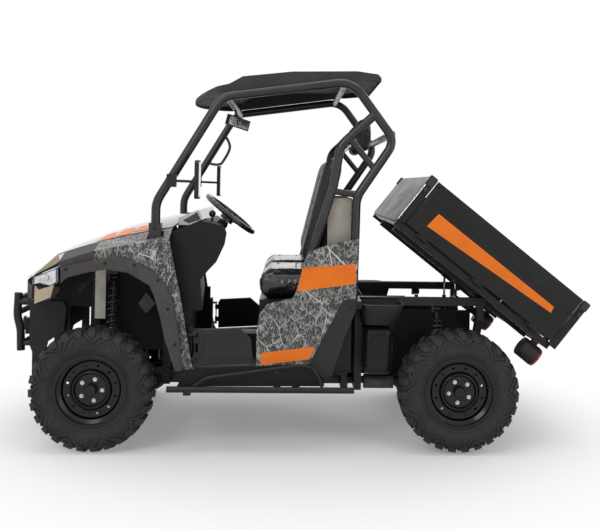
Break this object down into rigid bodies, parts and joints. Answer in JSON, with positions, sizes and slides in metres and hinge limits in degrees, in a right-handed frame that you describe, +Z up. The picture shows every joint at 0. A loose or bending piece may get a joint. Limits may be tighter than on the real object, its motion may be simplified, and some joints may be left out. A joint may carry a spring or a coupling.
{
  "type": "utility side-by-side vehicle",
  "caption": "Side-by-side utility vehicle with roll cage and roof, steered front wheels, side doors, bull bar and a tipping cargo bed with drop-down gates.",
  "frame": {"origin": "on the ground at the middle of the vehicle's length and width, measured with the cargo bed raised", "axes": "+X towards the tail, +Y towards the passenger's side, +Z up"},
  "size_m": [3.1387, 1.52, 2.0109],
  "materials": {
    "frame_paint": "textured black powder coat",
    "cage_paint": "satin dark grey powder coat",
    "dark_plastic": "grained dark grey moulded plastic",
    "camo_plastic": "dark grey plastic with a pale branch and leaf print",
    "gloss_body": "glossy dark body plastic",
    "bed_paint": "satin grey paint on pressed steel",
    "vinyl": "black seat vinyl",
    "rubber": "black tyre rubber",
    "rim_paint": "satin black painted steel",
    "bare_steel": "zinc plated steel",
    "chrome_rod": "chromed rod",
    "cast_metal": "cast engine metal",
    "cast_alloy": "cast alloy",
    "lens": "clear moulded lens",
    "red_lens": "red moulded lens",
    "bronze_trim": "pale warm grey moulded plastic",
    "pale_steel": "pale strap"
  },
  "bodies": {
    "chassis": {"frame": "frame_paint", "suspension_arms": "frame_paint", "shock_absorbers": "bare_steel", "drive_line": "cast_metal", "engine": "cast_metal", "engine_cover": "dark_plastic", "fuel_tank": "dark_plastic", "tower_straps": "pale_steel", "splash_shields": "dark_plastic", "bull_bar": "frame_paint", "winch": "frame_paint", "fascia": "dark_plastic", "radiator_guard": "dark_plastic", "headlights": "lens", "hood": "gloss_body", "fender_left": "camo_plastic", "fender_right": "camo_plastic", "flares": "dark_plastic", "dashboard": "dark_plastic", "steering_column": "dark_plastic", "footwell": "dark_plastic", "seat_base": "dark_plastic", "seat_cushion_left": "vinyl", "seat_cushion_right": "vinyl", "seat_back_left": "vinyl", "seat_back_right": "vinyl", "headrests": "vinyl", "bulkhead": "bronze_trim", "side_panel_left": "camo_plastic", "side_panel_right": "camo_plastic", "side_trims": "dark_plastic", "sills": "dark_plastic", "step_bars": "frame_paint", "cage_left": "cage_paint", "cage_right": "cage_paint", "cage_crossbars": "cage_paint", "roof": "gloss_body", "mirrors": "dark_plastic"},
    "knuckle_left": {"knuckle_left": "cast_metal"},
    "knuckle_right": {"knuckle_right": "cast_metal"},
    "steering_wheel": {"steering_wheel": "vinyl"},
    "tie_rods": {"tie_rods": "bare_steel"},
    "wheel_front_left": {"tyre_front_left": "rubber", "rim_front_left": "rim_paint"},
    "wheel_front_right": {"tyre_front_right": "rubber", "rim_front_right": "rim_paint"},
    "wheel_rear_left": {"tyre_rear_left": "rubber", "rim_rear_left": "rim_paint"},
    "wheel_rear_right": {"tyre_rear_right": "rubber", "rim_rear_right": "rim_paint"},
    "bed": {"bed_floor": "bed_paint", "bed_headboard": "bed_paint", "tail_lights": "red_lens"},
    "bed_gate_left": {"bed_gate_left": "bed_paint"},
    "bed_gate_right": {"bed_gate_right": "bed_paint"},
    "tailgate": {"tailgate": "bed_paint"},
    "strut_barrels": {"strut_barrels": "frame_paint"},
    "strut_rods": {"strut_rods": "chrome_rod"},
    "door_left": {"door_left": "dark_plastic"},
    "door_right": {"door_right": "dark_plastic"}
  },
  "joints": [
    {"name": "steer_left", "type": "hinge", "parent": "chassis", "child": "knuckle_left", "pos_m": [-1.051, -0.57, 0.32], "axis": [0, 0, 1], "range_deg": [-28, 28]},
    {"name": "steer_right", "type": "hinge", "parent": "chassis", "child": "knuckle_right", "pos_m": [-1.051, 0.57, 0.32], "axis": [0, 0, 1], "range_deg": [-28, 28]},
    {"name": "steering_wheel_turn", "type": "hinge", "parent": "chassis", "child": "steering_wheel", "pos_m": [-0.38, -0.3, 1.225], "axis": [0.6157, 0, 0.788], "range_deg": [-270, 270]},
    {"name": "tie_rod_slide", "type": "slide", "parent": "chassis", "child": "tie_rods", "axis": [0, 1, 0], "range_m": [-0.048, 0.048]},
    {"name": "wheel_spin_front_left", "type": "hinge", "parent": "knuckle_left", "child": "wheel_front_left", "pos_m": [-1.051, -0.645, 0.32], "axis": [0, 1, 0], "continuous": true},
    {"name": "wheel_spin_front_right", "type": "hinge", "parent": "knuckle_right", "child": "wheel_front_right", "pos_m": [-1.051, 0.645, 0.32], "axis": [0, 1, 0], "continuous": true},
    {"name": "wheel_spin_rear_left", "type": "hinge", "parent": "chassis", "child": "wheel_rear_left", "pos_m": [0.864, -0.62, 0.32], "axis": [0, 1, 0], "continuous": true},
    {"name": "wheel_spin_rear_right", "type": "hinge", "parent": "chassis", "child": "wheel_rear_right", "pos_m": [0.864, 0.62, 0.32], "axis": [0, 1, 0], "continuous": true},
    {"name": "bed_tilt", "type": "hinge", "parent": "chassis", "child": "bed", "pos_m": [1.035, 0, 0.762], "axis": [0, 1, 0], "range_deg": [-38, 0]},
    {"name": "bed_gate_left_hinge", "type": "hinge", "parent": "bed", "child": "bed_gate_left", "pos_m": [0.95192, -0.668, 0.89036], "axis": [0.788, 0, -0.6157], "range_deg": [0, 90]},
    {"name": "bed_gate_right_hinge", "type": "hinge", "parent": "bed", "child": "bed_gate_right", "pos_m": [0.95192, 0.668, 0.89036], "axis": [-0.788, 0, 0.6157], "range_deg": [0, 90]},
    {"name": "tailgate_hinge", "type": "hinge", "parent": "bed", "child": "tailgate", "pos_m": [1.37232, 0, 0.56191], "axis": [0, 1, 0], "range_deg": [0, 90]},
    {"name": "strut_swing", "type": "hinge", "parent": "chassis", "child": "strut_barrels", "pos_m": [0.921, 0, 0.445], "axis": [0, 1, 0], "range_deg": [-5.6, 0]},
    {"name": "strut_slide", "type": "slide", "parent": "strut_barrels", "child": "strut_rods", "axis": [0, 0, 1], "range_m": [-0.088, 0]},
    {"name": "door_left_hinge", "type": "hinge", "parent": "chassis", "child": "door_left", "pos_m": [-0.528, -0.672, 0.535], "axis": [0, 0, -1], "range_deg": [0, 65]},
    {"name": "door_right_hinge", "type": "hinge", "parent": "chassis", "child": "door_right", "pos_m": [-0.528, 0.672, 0.535], "axis": [0, 0, 1], "range_deg": [0, 65]}
  ],
  "couplings": [
    {"joint": "steer_right", "follows": "steer_left", "ratio": 1},
    {"joint": "steering_wheel_turn", "follows": "steer_left", "ratio": 9.6},
    {"joint": "tie_rod_slide", "follows": "steer_left", "m_per_rad": 0.096},
    {"joint": "strut_swing", "follows": "bed_tilt", "ratio": 0.147},
    {"joint": "strut_slide", "follows": "bed_tilt", "m_per_rad": 0.1324}
  ]
}
